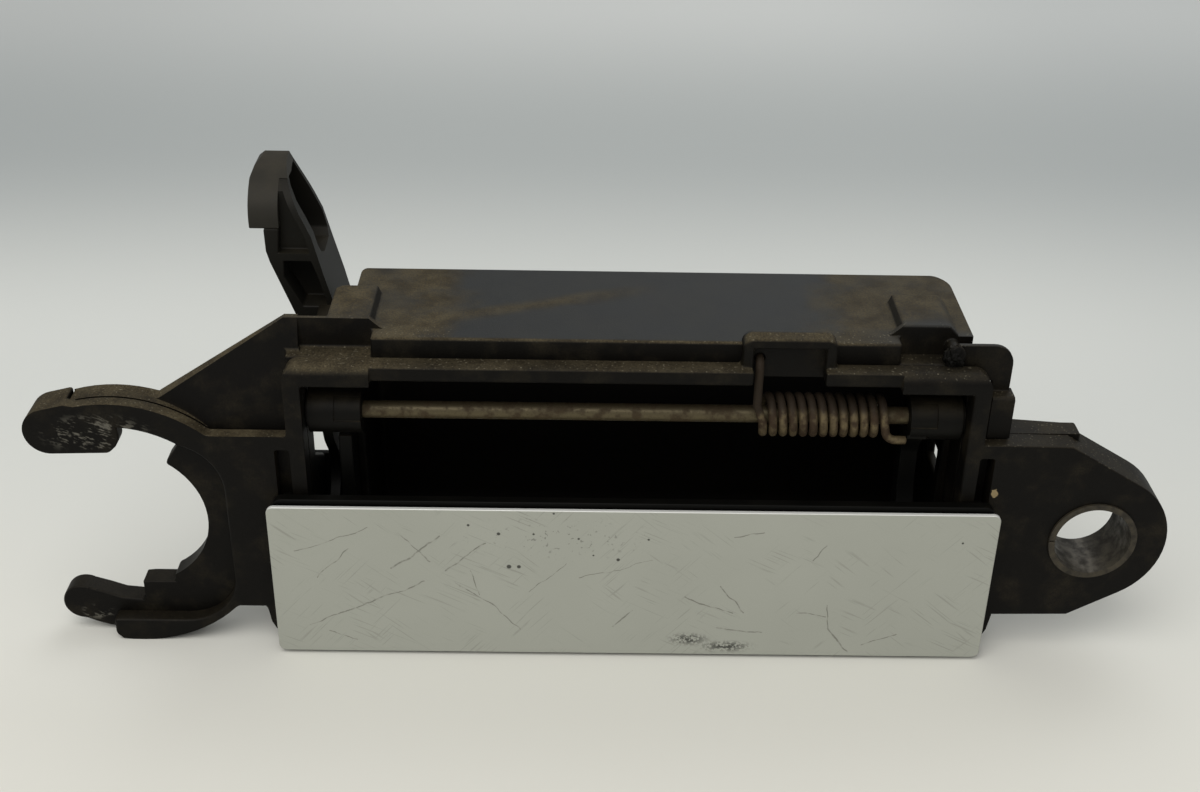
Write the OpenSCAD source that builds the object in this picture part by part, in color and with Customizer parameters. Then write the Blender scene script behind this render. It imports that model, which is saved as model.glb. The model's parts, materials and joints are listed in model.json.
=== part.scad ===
// Exterior door handle of the flap kind: a skinned flap hangs on a sprung hinge rod in a
// two-layer moulded housing. A bush takes the fixing bolt at one end, an open ring grips the
// lock cylinder at the other, and a lever on the flap works the latch behind.
//
// Layout: X runs along the flap, Y points into the door and Z up. The parts are drawn with
// X = 0 at the flap's middle, Y = 0 on the skin's face and Z = 0 at the skin's bottom edge.
// place() then moves the origin to the bolt bush's front end, on its axis.

/* [Skin plate] */
// Width of the skin plate
skin_w = 146; // [136:1:156]
// Height of the skin plate
skin_h = 35.6; // [32:0.2:38]
// Thickness of the skin's sheet
skin_t = 1.0; // [0.8:0.1:1.2]
// Corner radius of the skin
skin_r = 1.5; // [0.5:0.1:3]

/* [Front moulding] */
// Setback of the moulding's front face behind the skin's face
front_y = 4; // [3.8:0.1:4.4]
// Depth of the front moulding round the opening
frame_depth = 5; // [4.6:0.1:5.4]
// Depth of the front moulding at the lock ring
ring_front_depth = 3.3; // [3:0.1:3.8]
// Top of the frame
frame_top = 64.8; // [64:0.1:66]
// Top of the side bodies
body_top = 49.5; // [48.5:0.1:50]
// Bottom of the side bodies
body_bottom = 8; // [6:0.5:10]
// Width of each post beside the opening
post_w = 3.3; // [3:0.1:3.6]
// Width of each guide slot
slot_w = 3; // [2.6:0.1:3.6]
// Height of the bar over the opening
bar_h = 3.1; // [2.8:0.1:3.4]

/* [Bolt lug] */
// Distance from the flap's middle to the bolt
bolt_x = 93.4; // [92:0.1:96]
// Height of the bolt
bolt_z = 27.3; // [25:0.1:29]
// Radius of the lug's round end
lug_r = 15.2; // [14:0.1:16]
// Bore of the bush
bush_d = 15.4; // [14:0.1:16]
// Wall of the bush
bush_wall = 1.23; // [1:0.05:1.5]
// Length of the bush
bush_len = 12.1; // [11:0.1:13]

/* [Lock ring] */
// Distance from the flap's middle to the lock cylinder's axis
ring_x = 102.6; // [101:0.1:104]
// Height of the lock cylinder's axis
ring_z = 27.8; // [27:0.1:29]
// Bore radius of the ring
ring_bore_r = 16.1; // [15:0.1:17]
// Outer radius of the ring
ring_r = 28.6; // [28:0.1:29.5]
// Depth of the rear layer of the ring
ring_rear_depth = 4.7; // [4:0.1:5.5]

/* [Recess box] */
// Left side of the box
box_left = -56.9; // [-57.5:0.1:-56]
// Top of the box
box_top = 68.9; // [68:0.1:69.6]
// Back of the box
box_back = 41.6; // [39:0.1:46]
// Wall of the box
box_wall = 2; // [1.6:0.1:2.2]
// Top of the two raised blocks
block_top = 71.1; // [70.4:0.1:72]

/* [Hinge] */
// Hinge rod's depth behind the skin's face
hinge_y = 11; // [10.8:0.1:11.4]
// Hinge rod's height
hinge_z = 52.1; // [51.6:0.1:52.6]
// Diameter of the hinge rod
rod_d = 3.5; // [3:0.1:4]
// Running clearance on the radius
running_gap = 0.05; // [0.02:0.01:0.09]
// Barrel radius
barrel_r = 4.7; // [4.4:0.1:5]

/* [Spring] */
// Wire diameter
wire_d = 1.7; // [1.4:0.1:1.8]
// Outer diameter of the coil
coil_d = 9; // [8.4:0.1:9.6]
// Number of turns
coil_turns = 12; // [8:1:12]
// Left end of the coil
coil_left = 24.1; // [23.6:0.1:25]
// Right end of the coil
coil_right = 49.8; // [48.8:0.1:50.4]

/* [Latch lever] */
// Depth of the lever's front plane
lever_y = 30; // [29.8:0.1:32]
// Depth of the lever's upper front pocket
lever_depth = 2.4; // [2:0.1:2.8]
// Thickness of the contact pad
pad_t = 1.8; // [1.5:0.1:2.2]

/* [Hidden] */
$fn = 64;

moulding_col = [0.10, 0.10, 0.09];
flap_col = [0.08, 0.08, 0.08];
silver_col = [0.70, 0.71, 0.71];
rust_col = [0.42, 0.38, 0.31];
steel_col = [0.55, 0.54, 0.51];
foam_col = [0.05, 0.05, 0.05];
bush_col = [0.06, 0.06, 0.06];

touch = 0.02;                                  // gap that keeps two fixed pieces apart
over = 1;                                      // how far a cutter runs past a face
wall_fit = 0.15;                               // end play of the bushes and pads

bush_y = front_y - 0.5;                        // the bush stands a little proud
split_y = front_y + frame_depth;               // where the two mouldings meet
ring_split_y = front_y + ring_front_depth;     // the same, at the left
ring_back_y = ring_split_y + ring_rear_depth;
flange_back_y = split_y + 4.9;
block_y = split_y + 4.1;                       // front of the raised blocks

post_in = skin_w / 2 - 8;                      // inner face of a post
post_out = post_in + post_w;
slot_in = skin_w / 2 - 5;
slot_out = slot_in + slot_w;
slot_top = body_top - 3;
slot_bottom = body_bottom + 2;
shoulder_under = frame_top - 4.3;
bar_left = -(post_in - 13.4);
bar_right = post_in - 14;
bar_y = front_y + 0.7;
bar_bottom = frame_top - bar_h;

bush_r = bush_d / 2 + bush_wall;
lug_left = bolt_x - 4.6;                       // beyond this the front moulding is full depth
lug_boss_r = bush_r + 2.6;

arch_left = 20;                                // the arch over the spring's upper leg
arch_right = 38.3;
arch_wall = 2.2;
arch_top = frame_top + 6.2;
arch_y = front_y + 2.5;

box_right = skin_w / 2 - 7.5;
box_floor = 6;
box_side_y = 17;                               // front edge of the box's side walls
shoulder_back = block_y + 2;
cheek_back = block_y + 1.5;

rod_r = rod_d / 2;
rod_bore_r = rod_r + running_gap;
lug_x0 = slot_in + 1.2;                        // the retainer's lug
lug_x1 = slot_in + 5.8;
rod_left = -post_out;
rod_right = lug_x1 - 1.4;                      // the lug's bore is blind

skin_back = skin_t;
pad_back = skin_back + 0.4;
carrier_back = front_y - 0.6;
carrier_half = skin_w / 2 - 1;
carrier_top = skin_h + 1;
barrel_out = post_in - 0.3;
barrel_in = post_in - 11;
mark_in = post_in - 5.7;
stud_r = 1.5;
stud_x = [20, barrel_in - 7];
stud_z = skin_h / 2;
crank_left = -barrel_out;
crank_right = box_left - 2.5;

coil_r = (coil_d - wire_d) / 2;
leg_x = coil_left - 0.55;                      // the upper leg stands beside the first turn
leg_y = hinge_y - coil_r;
leg_top = frame_top + 1;
leg_low = hinge_z - 3.5;
leg_hole = wire_d / 2 + 0.3;

screw_r = 1.5;
lever_foot = hinge_z - 2.1;                    // lower end of the lever
foot_depth = 7;                                // depth of the lever's foot
foot_top = lever_foot + 7;
lever_screw_x = (crank_left + crank_right) / 2;
lever_screw_z = lever_foot + 3.6;
peg_z = lever_foot + 10.5;                     // moulded peg that keeps the lever from turning
peg_len = 6;
stake_x = post_in - 3.6;
stake_z = frame_top + 2.1;

// Points along an arc about c
function arc(c, r, a0, a1, n) =
    [for (i = [0:n]) c + r * [cos(a0 + (a1 - a0) * i / n), sin(a0 + (a1 - a0) * i / n)]];

// Where a line from p touches the circle of radius r about c
function tangent_point(p, c, r, side) =
    let (d = c - p, a = atan2(d.y, d.x) + side * asin(r / norm(d)))
    p + sqrt(d * d - r * r) * [cos(a), sin(a)];

function unit(v) = v / norm(v);

// Moves a drawn part so that the bolt's axis and the bush's front end are the origin
module place() {
    translate([-bolt_x, -bush_y, -bolt_z]) children();
}

// An outline in X and Z, given depth along Y
module slab(y0, y1) {
    translate([0, y1, 0]) rotate([90, 0, 0]) linear_extrude(y1 - y0) children();
}

// An outline in Y and Z, given width along X
module side_slab(x0, x1) {
    translate([x0, 0, 0]) rotate([90, 0, 90]) linear_extrude(x1 - x0) children();
}

module block(x0, x1, y0, y1, z0, z1) {
    translate([x0, y0, z0]) cube([x1 - x0, y1 - y0, z1 - z0]);
}

module bar_x(x0, x1, r, y = hinge_y, z = hinge_z) {
    translate([x0, y, z]) rotate([0, 90, 0]) cylinder(r = r, h = x1 - x0);
}

module bar_y(y0, y1, r, x, z) {
    translate([x, y1, z]) rotate([90, 0, 0]) cylinder(r = r, h = y1 - y0);
}

module rect(x0, x1, z0, z1) {
    translate([x0, z0]) square([x1 - x0, z1 - z0]);
}

// A rectangle with its two upper corners rounded
module round_top_rect(x0, x1, z0, z1, r) {
    rect(x0, x1, z0, z1 - r);
    rect(x0 + r, x1 - r, z0, z1);
    for (x = [x0 + r, x1 - r]) translate([x, z1 - r]) circle(r);
}

// A rectangle with all corners rounded
module round_rect(x0, x1, z0, z1, r) {
    rect(x0, x1, z0 + r, z1 - r);
    rect(x0 + r, x1 - r, z0, z1);
    for (x = [x0 + r, x1 - r], z = [z0 + r, z1 - r]) translate([x, z]) circle(r);
}

// Rounds the upper front edge of a ledge between x0 and x1
module edge_round(x0, x1, y, z, r) {
    difference() {
        block(x0, x1, y - over, y + r, z - r, z + over);
        bar_x(x0 - over, x1 + over, r, y + r, z - r);
    }
}

module both_sides() {
    children();
    mirror([1, 0, 0]) children();
}

// ---- Front moulding ----

module frame_outline() {
    difference() {
        round_top_rect(-post_out, post_out, body_bottom, frame_top, 3);
        rect(-post_in, post_in, body_bottom - over, shoulder_under);
        rect(bar_left, bar_right, body_bottom, bar_bottom);
    }
}

// Bolt lug: a block and a round end about the bolt, joined by tangents
module lug_outline() {
    c = [bolt_x, bolt_z];
    high = [bolt_x - 7.4, body_top - 0.2];
    low = [bolt_x - 2.2, body_bottom + 0.4];
    translate(c) circle(lug_r, $fn = 96);
    polygon([
        [post_out - 0.3, body_top], high, tangent_point(high, c, lug_r, 1), c,
        tangent_point(low, c, lug_r, -1), low, [post_out - 0.3, body_bottom]
    ]);
}

// Part of the lug that is moulded at its full depth in the front moulding
module lug_deep_outline() {
    intersection() {
        lug_outline();
        union() {
            rect(lug_left, bolt_x + 2 * lug_r, 0, body_top + over);
            translate([bolt_x, bolt_z]) circle(lug_boss_r);
        }
    }
}

hook_r = 4.95;
hook_c = [-ring_x - 12, ring_z + ring_r - 6.4];
hook_under = ring_z + ring_r - 11;
hook_step = -ring_x - 8.3;                     // the hook is full depth left of this

// Hook at the open end of the ring's upper arm
module hook_outline() {
    peak = [hook_step, ring_z + ring_r - 0.35];
    translate(hook_c) circle(hook_r);
    polygon([
        peak, [-ring_x + 1.5, ring_z + ring_r - 2], [-ring_x + 1.5, ring_z + ring_r - 6],
        [-ring_x + 1.7, ring_z + ring_r - 7.8], [-ring_x + 0.7, ring_z + ring_r - 9.7],
        [-ring_x - 0.6, hook_under],
        [hook_c.x, hook_c.y - hook_r], hook_c, tangent_point(peak, hook_c, hook_r, -1)
    ]);
}

module ring_disc(r) {
    translate([-ring_x, ring_z]) circle(r, $fn = 128);
}

// Where the side body runs into the ring
left_body = -ring_x + sqrt(ring_r * ring_r - pow(body_top - ring_z, 2));
window_right = -ring_x + 20.9;                 // right side of the wide window in the front layer
window_r = 11;
upper_arm_r = ring_r - 5.4;                    // inner radius of the upper arm
lower_end = -ring_x - 5.4;                     // left end of the front layer's lower part
frame_screw_x = [(window_right - slot_out) / 2, (slot_out + lug_left) / 2];
frame_screw_z = [body_bottom + 6, body_top - 7.5];

// Front layer of the lock ring: its window is wider than the ring behind it
module ring_front_outline() {
    difference() {
        union() {
            ring_disc(ring_r);
            rect(left_body, -post_out + 0.3, body_bottom, body_top);
        }
        round_rect(-2 * ring_x, window_right, ring_z - ring_r + 5.1, ring_z + ring_r - 8.9, window_r);
        intersection() {
            ring_disc(upper_arm_r);
            rect(-2 * ring_x, -ring_x + 12.6, ring_z, ring_z + ring_r);
        }
        rect(-2 * ring_x, -ring_x - 14, ring_z - over, 2 * ring_z);
        rect(-2 * ring_x, lower_end, -ring_r, hook_under);
        polygon([
            [lower_end - over, -ring_r], [lower_end - over, 1], [lower_end, 1],
            [lower_end + 1.5, -0.5], [lower_end + 1.5, -ring_r]
        ]);
    }
    hook_outline();
}

module foot_outline() {
    x = slot_out + 2.5;
    polygon([
        [x, body_bottom + over], [x, 2.1], [x + 0.6, 2.6],
        [x + 1.4, 4.3], [x + 2, body_bottom], [x + 2, body_bottom + over]
    ]);
}

// The arch frames the pocket where the spring's upper leg is hooked
module spring_arch() {
    difference() {
        union() {
            slab(arch_y, split_y) round_top_rect(arch_left, arch_right, bar_bottom, arch_top, 2.3);
            slab(split_y - touch, split_y + 1.6) intersection() {
                round_top_rect(arch_left, arch_right, bar_bottom, arch_top, 2.3);
                rect(arch_left, arch_right, box_top, arch_top);
            }
        }
        block(arch_left + arch_wall, arch_right - arch_wall, arch_y - over, split_y,
              bar_bottom - over, arch_top - arch_wall);
    }
}

module front_frame() {
    color(moulding_col) place() difference() {
        union() {
            difference() {
                slab(front_y, split_y) frame_outline();
                block(bar_left, bar_right, front_y - over, bar_y,
                      bar_bottom - over, frame_top + over);
                block(arch_left + arch_wall, arch_right - arch_wall, front_y - over, split_y + over,
                      bar_bottom - over, frame_top + over);
                edge_round(-post_out - over, bar_left, front_y, frame_top, 2.3);
                edge_round(bar_right, post_out + over, front_y, frame_top, 2.3);
                edge_round(bar_left, bar_right, bar_y, frame_top, 0.5);
            }
            spring_arch();
            slab(front_y, split_y) lug_outline();
            slab(front_y, flange_back_y) lug_deep_outline();
            slab(front_y, ring_split_y) ring_front_outline();
            slab(front_y, ring_back_y) intersection() {
                hook_outline();
                rect(-2 * ring_x, hook_step, 0, 2 * ring_z + over);
            }
            both_sides() slab(front_y, ring_split_y) foot_outline();
        }
        both_sides() slab(front_y - over, split_y + touch)
            round_top_rect(slot_in, slot_out, slot_bottom, slot_top, 0.6);
        bar_y(bush_y, flange_back_y + over, bush_r + touch, bolt_x, bolt_z);
        for (z = frame_screw_z) {
            bar_y(front_y + 1.2, ring_back_y, screw_r + touch, frame_screw_x[0], z);
            bar_y(front_y + 1.4, flange_back_y, screw_r + touch, frame_screw_x[1], z);
        }
    }
}

// ---- Rear moulding ----

// The box from above: two back corners with their own radii
module box_plan(inset) {
    x0 = box_left + inset;
    x1 = box_right - inset;
    y1 = box_back - inset;
    rl = 3.2 - inset;
    rr = 6.5 - inset;
    polygon(concat(
        [[x0, 0]],
        arc([x0 + rl, y1 - rl], rl, 180, 90, 6),
        arc([x1 - rr, y1 - rr], rr, 90, 0, 8),
        [[x1, 0]]
    ));
}

// The box from the side: a soft upper edge and a lip that curls forward below
module box_side(inset) {
    y1 = box_back - inset;
    z0 = box_floor + inset;
    z1 = box_top - inset;
    low = 9 - inset;
    high = inset > 0 ? 0.8 : 1.4;
    polygon(concat(
        [[0, z0]],
        arc([y1 - low, z0 + low], low, -90, 0, 8),
        arc([y1 - high, z1 - high], high, 0, 90, 4),
        [[0, z1]]
    ));
}

module box_solid(inset) {
    intersection() {
        translate([0, 0, -over]) linear_extrude(box_top + 2 * over) box_plan(inset);
        side_slab(box_left - over, box_right + over) box_side(inset);
    }
}

module recess_box() {
    difference() {
        box_solid(0);
        box_solid(box_wall);
        block(box_left - over, box_right + over, -over, box_side_y, 0, box_top - box_wall);
        block(box_left + box_wall, box_right - box_wall, -over, 28, 0, box_floor + box_wall);
        block(box_left - over, box_right + over, -over, split_y, 0, box_top + over);
        block(box_left - over, bar_left, -over, block_y, 0, box_top + over);
        block(bar_right, box_right + over, -over, block_y, 0, box_top + over);
    }
}

// Outline of a raised block: its end towards the middle slopes over the given run
module raised_block_outline(x_out, x_in, slope, run) {
    polygon([
        [x_out, box_top - 0.5], [x_out, block_top - slope], [x_out + slope, block_top],
        [x_in, block_top], [x_in + run, box_top - 0.2], [x_in + run, box_top - 0.5]
    ]);
}

module raised_front_outline(x_out, x_in, slope) {
    raised_block_outline(x_out, x_in, slope, 2.6);
    rect(x_out, x_in + 2.6, shoulder_under, box_top - 0.2);
}

module raised_blocks() {
    // left: a roof over the crank arm, with its outer back corner cut off
    difference() {
        slab(block_y, block_y + 15) raised_block_outline(-post_in + 4.5, -post_in + 12.8, 0, 1);
        translate([0, 0, box_top - over]) linear_extrude(block_top) polygon([
            [-post_in + 4.4, block_y + 13.6], [-post_in + 4.4, block_y + 16],
            [-post_in + 6, block_y + 16], [-post_in + 6, block_y + 15.1]
        ]);
    }
    // right
    slab(block_y, block_y + 14) mirror([1, 0])
        raised_block_outline(-post_in + 2.5, -post_in + 13.3, 1.8, 1);
    // thin walls in front of both, the left one also in front of the lever
    slab(block_y, block_y + 1.2) raised_front_outline(-post_out - 0.4, -post_in + 12.8, 0);
    slab(block_y, block_y + 1.2) mirror([1, 0])
        raised_front_outline(-post_in + 2.5, -post_in + 13.3, 1.8);
    block(-post_out, -post_in + 12.8, block_y, shoulder_back, shoulder_under, frame_top);
    block(post_in - 15.5, box_right, block_y, shoulder_back, shoulder_under, box_top);
}

// The leaning web that stiffens the lock ring
module ring_web() {
    foot = [ring_split_y, body_top];
    lean = [block_y - ring_split_y, block_top - body_top];
    difference() {
        intersection() {
            side_slab(-ring_x, -post_in - 1) polygon([
                foot, foot + lean, foot + lean + [1.7, 0], [ring_back_y, body_top - 4],
                [ring_split_y, body_top - 4]
            ]);
            slab(0, box_back) polygon([
                [-ring_x + 5, body_top - 5], [-ring_x + 8.2, ring_z + 26.9],
                [-post_out - 0.4, block_top], [-post_in, block_top], [-post_in, body_top - 5]
            ]);
        }
        block(-post_out, 0, 0, split_y, 0, block_top);
        slab(0, box_back) ring_disc(upper_arm_r);
    }
}

ring_end_angle = 56;                           // where the grip's upper end is cut off
notch_x = -ring_x + 0.8;                       // where the lower arm starts
ring_low = ring_z - ring_r;
arm_end_c = [-ring_x - 12.4, ring_z - ring_r + 7];
arm_end_r = 4.1;

// Rear layer of the lock ring: the part that grips the cylinder, and both arms
module ring_rear_outline() {
    c = [-ring_x, ring_z];
    reach = 2 * ring_r;
    difference() {
        union() {
            ring_disc(ring_r);
            rect(left_body, -post_in - 0.5, body_bottom, body_top);
        }
        ring_disc(ring_bore_r);
        // upper arm is thinner past the grip's end
        intersection() {
            ring_disc(upper_arm_r);
            polygon([
                c, c + reach * [cos(ring_end_angle), sin(ring_end_angle)],
                c + [-reach, reach], c + [-reach, 0]
            ]);
        }
        // gap of the C
        rect(-2 * ring_x - reach, -ring_x - 14, ring_z, ring_z + reach);
        rect(-2 * ring_x - reach, hook_step, ring_z, ring_z + reach);
        polygon([
            c + [-reach, 0], [notch_x, ring_z], [notch_x, ring_low + 9],
            [notch_x - 0.6, ring_low + 8], [-ring_x - 4, ring_low + 8.4],
            [-ring_x - 7.2, ring_low + 9.6], [-ring_x - 10.6, ring_low + 10.7],
            arm_end_c, arm_end_c + [0, -ring_r], c + [-reach, -reach]
        ]);
        // flat land under the bore
        rect(notch_x, -ring_x + 7.6, ring_z - 15.9, ring_z);
    }
    translate(arm_end_c) circle(arm_end_r);
}

module rear_housing() {
    color(moulding_col) place() difference() {
        union() {
            recess_box();
            raised_blocks();
            ring_web();
            difference() {
                slab(ring_split_y, ring_back_y) ring_rear_outline();
                block(-post_out, 0, 0, split_y, 0, body_top + over);
            }
            slab(split_y, flange_back_y) difference() {
                rect(post_in, lug_left, body_bottom, body_top);
                translate([bolt_x, bolt_z]) circle(lug_boss_r + touch);
            }
            // cheeks that carry the hinge rod
            block(-post_out - 0.7, -post_in, split_y, cheek_back, body_bottom, shoulder_under + 0.5);
            block(post_in, post_out, split_y, box_side_y + 1, body_bottom, shoulder_under + 0.5);
            // gusset under the left cheek
            side_slab(-post_out, -post_in) polygon([
                [split_y, hinge_z - 12], [cheek_back, hinge_z - 12.7], [cheek_back + 10.4, 33],
                [cheek_back + 10.4, body_bottom], [split_y, body_bottom]
            ]);
            // rib along the right flange's upper edge
            translate([0, 0, body_top - 2.2]) linear_extrude(2.2) polygon([
                [post_out, split_y], [post_out, flange_back_y + 2.1],
                [lug_left - 3, flange_back_y], [lug_left, flange_back_y - 1.5], [lug_left, split_y]
            ]);
            // backs of the shoulders and of the bar
            block(-post_out, bar_left, split_y, shoulder_back, shoulder_under, frame_top);
            block(bar_right, post_out, split_y, shoulder_back, shoulder_under, frame_top);
            block(bar_left, bar_right, split_y, split_y + box_wall, bar_bottom, box_top);
            // stake that holds the retainer, melted over its face
            bar_y(split_y - 0.4, block_y + over, 1.4, stake_x, stake_z);
            bar_y(split_y - 0.7, split_y + 0.5 - touch, 2, stake_x, stake_z);
        }
        // room for the retainer's tab
        block(post_in - 3.2, post_out + over, split_y - over, split_y + 1.8,
              shoulder_under + 0.3, frame_top + 0.1);
        bar_x(rod_left - 0.1, post_out + over, rod_bore_r);
        bar_y(split_y - over, split_y + box_wall + over, leg_hole, leg_x, leg_top);
        // two small windows in the right side
        block(box_right - box_wall - over, box_right + over, 20.5, 29, 32.5, 38.2);
        block(post_in - over, post_out + over, 14.6, 16.8, 25, 29);
        for (z = frame_screw_z) {
            bar_y(front_y, ring_back_y + over, screw_r + touch, frame_screw_x[0], z);
            bar_y(front_y, flange_back_y + over, screw_r + touch, frame_screw_x[1], z);
        }
    }
}

module rod_retainer() {
    tab_y = split_y + 0.5;
    tab_left = post_in - 2.9;
    tab_top = box_top - 0.2;
    corner = 4;
    color(moulding_col) place() difference() {
        union() {
            slab(tab_y, tab_y + 1.2) polygon([
                [tab_left, shoulder_under + 0.5], [tab_left, tab_top],
                each arc([lug_x1 - 0.7 - corner, tab_top - corner], corner, 90, 0, 8),
                [lug_x1 - 0.7, hinge_z], [lug_x0 + 0.2, hinge_z],
                [lug_x0 + 0.2, shoulder_under + 0.5]
            ]);
            side_slab(lug_x0, lug_x1) polygon([
                [tab_y + 1.2, hinge_z + 6.8], [arch_y + 0.6, hinge_z + 6.8],
                [arch_y, hinge_z + 6.2], [arch_y, body_top + 0.1],
                [hinge_y + 3.2, body_top + 0.1], [hinge_y + 3.2, hinge_z + 3.5]
            ]);
            // boss on the closed end
            bar_x(lug_x1 - 0.5, lug_x1 + 0.9, 2.1, hinge_y + 1, hinge_z + 1.2);
        }
        bar_x(lug_x0 - over, rod_right + 0.1, rod_bore_r);
        bar_y(tab_y - over, tab_y + 3, 1.4 + touch, stake_x, stake_z);
    }
}

module bolt_bush() {
    color(steel_col) place() difference() {
        bar_y(bush_y, bush_y + bush_len, bush_r, bolt_x, bolt_z);
        bar_y(bush_y - over, bush_y + bush_len + over, bush_d / 2, bolt_x, bolt_z);
        block(bolt_x - bush_r - over, bolt_x, bush_y - over, bush_y + bush_len + over,
              bolt_z - 0.15, bolt_z + 0.15);
    }
}

module hinge_rod() {
    color(rust_col) place() bar_x(rod_left, rod_right, rod_r);
}

// ---- Return spring ----

// Middle line of the wire: upper leg, turns round the rod, lower leg
function wire_path() =
    let (
        steps = 18,
        pitch = (coil_right - coil_left - wire_d) / coil_turns,
        x0 = coil_left + wire_d / 2,
        x1 = coil_right - wire_d / 2,
        bend = 1.8,
        turn_out = 2.2
    )
    concat(
        [[leg_x, leg_y + 3.4, leg_top]],
        [for (a = [90:-22.5:0]) [leg_x, leg_y + bend - bend * cos(a), leg_top - bend + bend * sin(a)]],
        [[leg_x, leg_y, hinge_z + 4], [(leg_x + x0) / 2 + 0.1, leg_y, hinge_z + 1.8]],
        [for (i = [0:coil_turns * steps])
            let (a = 180 + 360 * i / steps)
            [x0 + pitch * i / steps, hinge_y + coil_r * cos(a), hinge_z + coil_r * sin(a)]],
        [for (a = [0:22.5:90])
            [x1 + 0.3 + turn_out * (1 - cos(a)), leg_y, leg_low + turn_out * (1 - sin(a))]],
        [[barrel_in + 3.5, leg_y, leg_low]]
    );

function direction(p, i) = unit(p[min(i + 1, len(p) - 1)] - p[max(i - 1, 0)]);

// A side direction at every point, carried along the path without twisting
function side_directions(p) = [
    for (i = 0, s = [1, 0, 0]; i < len(p);
         i = i + 1, s = i < len(p) ? let (t = direction(p, i)) unit(s - (s * t) * t) : s)
    let (t = direction(p, i)) unit(s - (s * t) * t)
];

module wire(path, r, sides) {
    last = len(path) - 1;
    s = side_directions(path);
    rings = [for (i = [0:last])
        let (n = cross(direction(path, i), s[i]))
        for (k = [0:sides - 1]) path[i] + r * (s[i] * cos(360 * k / sides) + n * sin(360 * k / sides))];
    faces = concat(
        [[for (k = [0:sides - 1]) k]],
        [for (i = [0:last - 1], k = [0:sides - 1])
            let (j = (k + 1) % sides)
            [i * sides + k, (i + 1) * sides + k, (i + 1) * sides + j, i * sides + j]],
        [[for (k = [sides - 1:-1:0]) last * sides + k]]
    );
    polyhedron(rings, faces, convexity = 6);
}

module return_spring() {
    color(rust_col) place() wire(wire_path(), wire_d / 2, 10);
}

// ---- Flap ----

module flap_skin() {
    color(silver_col) place() {
        slab(0, skin_back) round_rect(-skin_w / 2, skin_w / 2, 0, skin_h, skin_r);
        both_sides() for (x = stud_x) bar_y(skin_back - 0.2, carrier_back + 3.4, stud_r, x, stud_z);
    }
}

module skin_pad() {
    color(foam_col) place() difference() {
        slab(skin_back, pad_back) round_rect(-carrier_half, carrier_half, 1, skin_h - 1, skin_r);
        both_sides() for (x = stud_x) bar_y(0, pad_back + over, stud_r + touch, x, stud_z);
    }
}

// Barrel round the hinge rod, on the right, with a shallow step over its inner half
module barrel() {
    difference() {
        bar_x(barrel_in, barrel_out - 0.3, barrel_r);
        difference() {
            block(barrel_in - over, mark_in, 0, hinge_y, hinge_z - 0.3, hinge_z + 4);
            bar_x(barrel_in - 2 * over, mark_in + over, barrel_r - 0.35);
        }
    }
}

// The curved web that joins the right barrel to the carrier, in Y and Z
module right_arm() {
    front = [[-1.5, -4.5], [0.8, -7], [1.5, -9.5], [1.2, -16.1], [-0.2, -20.4], [-2.2, -23.4]];
    back = [[4.6, -23.1], [5.4, -17], [5.4, -9], [3.4, -2.1]];
    side_slab(barrel_in, barrel_in + 3.5) polygon([
        each [for (p = front) [hinge_y, hinge_z] + p],
        [carrier_back - 0.5, carrier_top - 11.6], [carrier_back - 0.5, carrier_top - 21.6],
        [carrier_back + 5, carrier_top - 17.6],
        each [for (p = back) [hinge_y, hinge_z] + p]
    ]);
}

// The left one is thinner and bows further back, under the crank arm
module left_arm() {
    front = [[-1.5, -4.5], [0, -7.6], [3.2, -11.6], [4.5, -16.1], [3.4, -19.6], [0.8, -22.4]];
    back = [[6, -25.1], [8.2, -20.6], [8.5, -16.1], [7, -10.1], [4.5, -2.1]];
    side_slab(crank_left + 2.5, crank_left + 4.5) polygon([
        each [for (p = front) [hinge_y, hinge_z] + p],
        [carrier_back - 0.5, carrier_top - 10.6], [carrier_back - 0.5, carrier_top - 20.6],
        [carrier_back + 4.6, carrier_top - 17.6],
        each [for (p = back) [hinge_y, hinge_z] + p]
    ]);
}

// Crank arm that reaches back under the left shoulder to the latch lever
module crank_arm() {
    side_slab(crank_left, crank_right) polygon([
        [hinge_y, hinge_z - barrel_r], [lever_y, lever_foot], [lever_y, frame_top + 0.8],
        [shoulder_back + 1.8, frame_top - 2], [shoulder_back + 0.6, shoulder_under - 1.2],
        [hinge_y, hinge_z + barrel_r]
    ]);
}

module flap_carrier() {
    color(flap_col) place() difference() {
        union() {
            slab(pad_back, carrier_back) round_rect(-carrier_half, carrier_half, 0.8, carrier_top, 2);
            // stiffening ribs, the upper one where the fingers pull
            block(-post_in + 3, post_in - 3, carrier_back - 0.5, carrier_back + 5,
                  carrier_top - 8.5, carrier_top - 6.5);
            block(-post_in + 3, post_in - 3, carrier_back - 0.5, carrier_back + 2.6, 3, 4.6);
            both_sides() {
                barrel();
                block(slot_in + 0.65, slot_out - 0.65, carrier_back - 0.5, front_y + 2.8,
                      slot_bottom + 1, skin_h - 0.6);
            }
            right_arm();
            left_arm();
            crank_arm();
        }
        both_sides() {
            bar_x(barrel_in - over, barrel_out + over, rod_r + 1.05 + touch);
            bar_x(barrel_out - 0.3, barrel_out + over, rod_r + 2 + touch);
            for (x = stud_x) bar_y(0, carrier_back + over, stud_r + touch, x, stud_z);
        }
        bar_x(barrel_in - over, barrel_in + 3.9, leg_hole, leg_y, leg_low);
        bar_y(lever_y - 8.2, lever_y + over, screw_r + touch, lever_screw_x, lever_screw_z);
        bar_y(lever_y - peg_len - 0.2, lever_y + over, screw_r + touch, lever_screw_x, peg_z);
    }
}

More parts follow.
